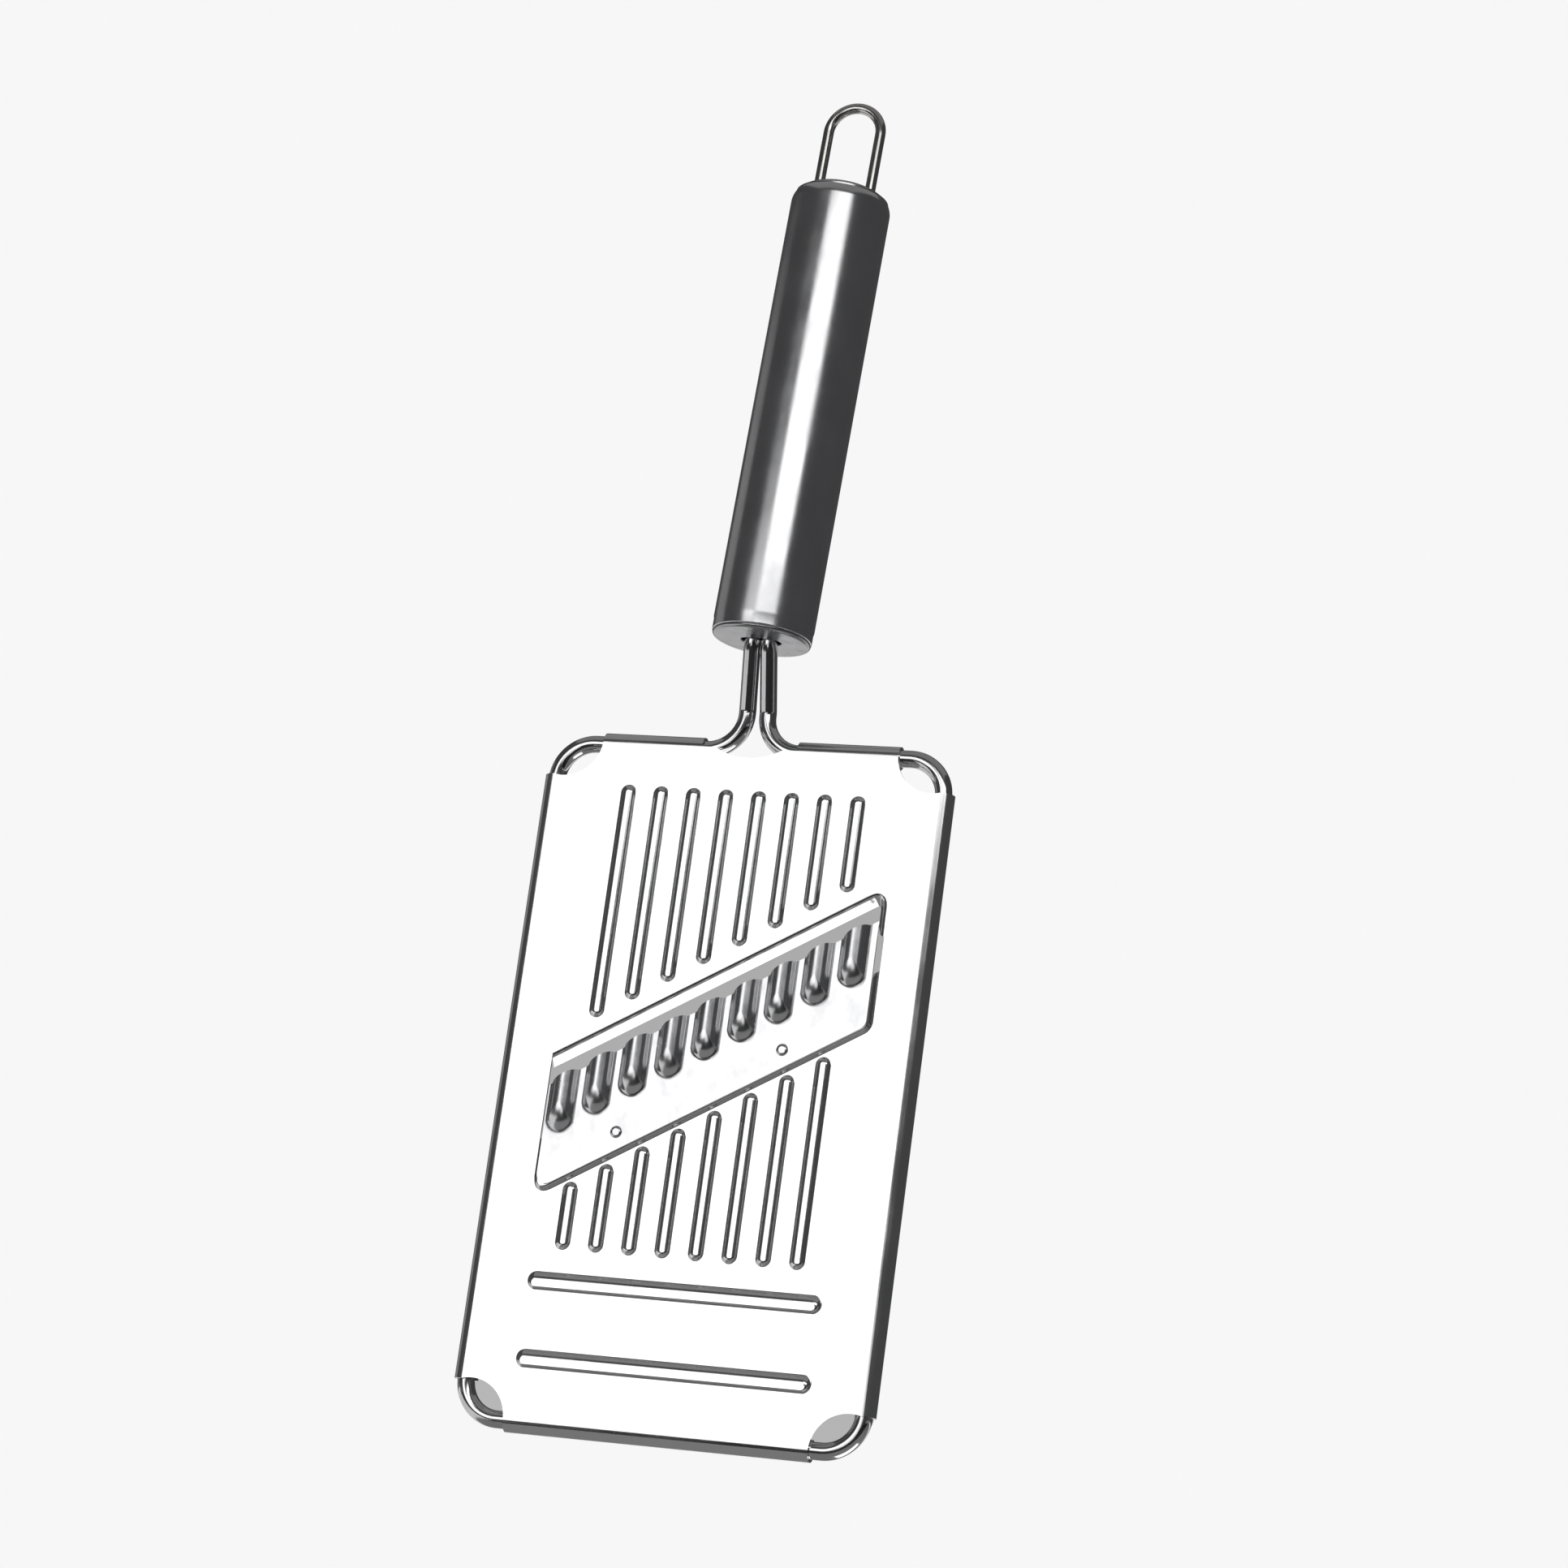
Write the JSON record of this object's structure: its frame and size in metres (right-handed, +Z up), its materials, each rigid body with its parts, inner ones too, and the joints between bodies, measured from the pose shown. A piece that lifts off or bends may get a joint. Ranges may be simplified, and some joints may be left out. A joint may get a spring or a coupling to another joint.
{
  "type": "mandoline slicer",
  "caption": "Hand-held wave slicer: a stamped plate with an oblique fluted blade, hemmed round a bent wire frame, on a tube handle with a hanging loop.",
  "frame": {"origin": "highest point of the hanging loop's inside, where the loop rests on a hook", "axes": "+Z runs up the plate from its bottom edge towards the handle, +X across the plate to the right seen from the food side, +Y from the food side to the back"},
  "size_m": [0.1, 0.0238, 0.3231],
  "materials": {
    "polished_sheet": "bright polished stamped stainless sheet, faintly scuffed",
    "hardened_blade": "polished hardened stainless with a ground edge",
    "frame_steel": "bright drawn stainless wire",
    "satin_tube": "satin polished tube with fine lengthwise grain",
    "cap_steel": "matt pressed stainless",
    "loop_steel": "bright drawn stainless wire",
    "rivet_steel": "pressed stainless",
    "weld_metal": "dull heat-tinted weld bead"
  },
  "bodies": {
    "root": {"slicer_plate": "polished_sheet", "wave_blade": "hardened_blade", "blade_rivet_left": "rivet_steel", "blade_rivet_right": "rivet_steel", "frame_wire": "frame_steel", "handle_tube": "satin_tube", "handle_end_cap": "cap_steel", "hanging_loop": "loop_steel", "loop_weld_left": "weld_metal", "loop_weld_right": "weld_metal", "leg_weld_front": "weld_metal", "leg_weld_back": "weld_metal"}
  },
  "joints": []
}
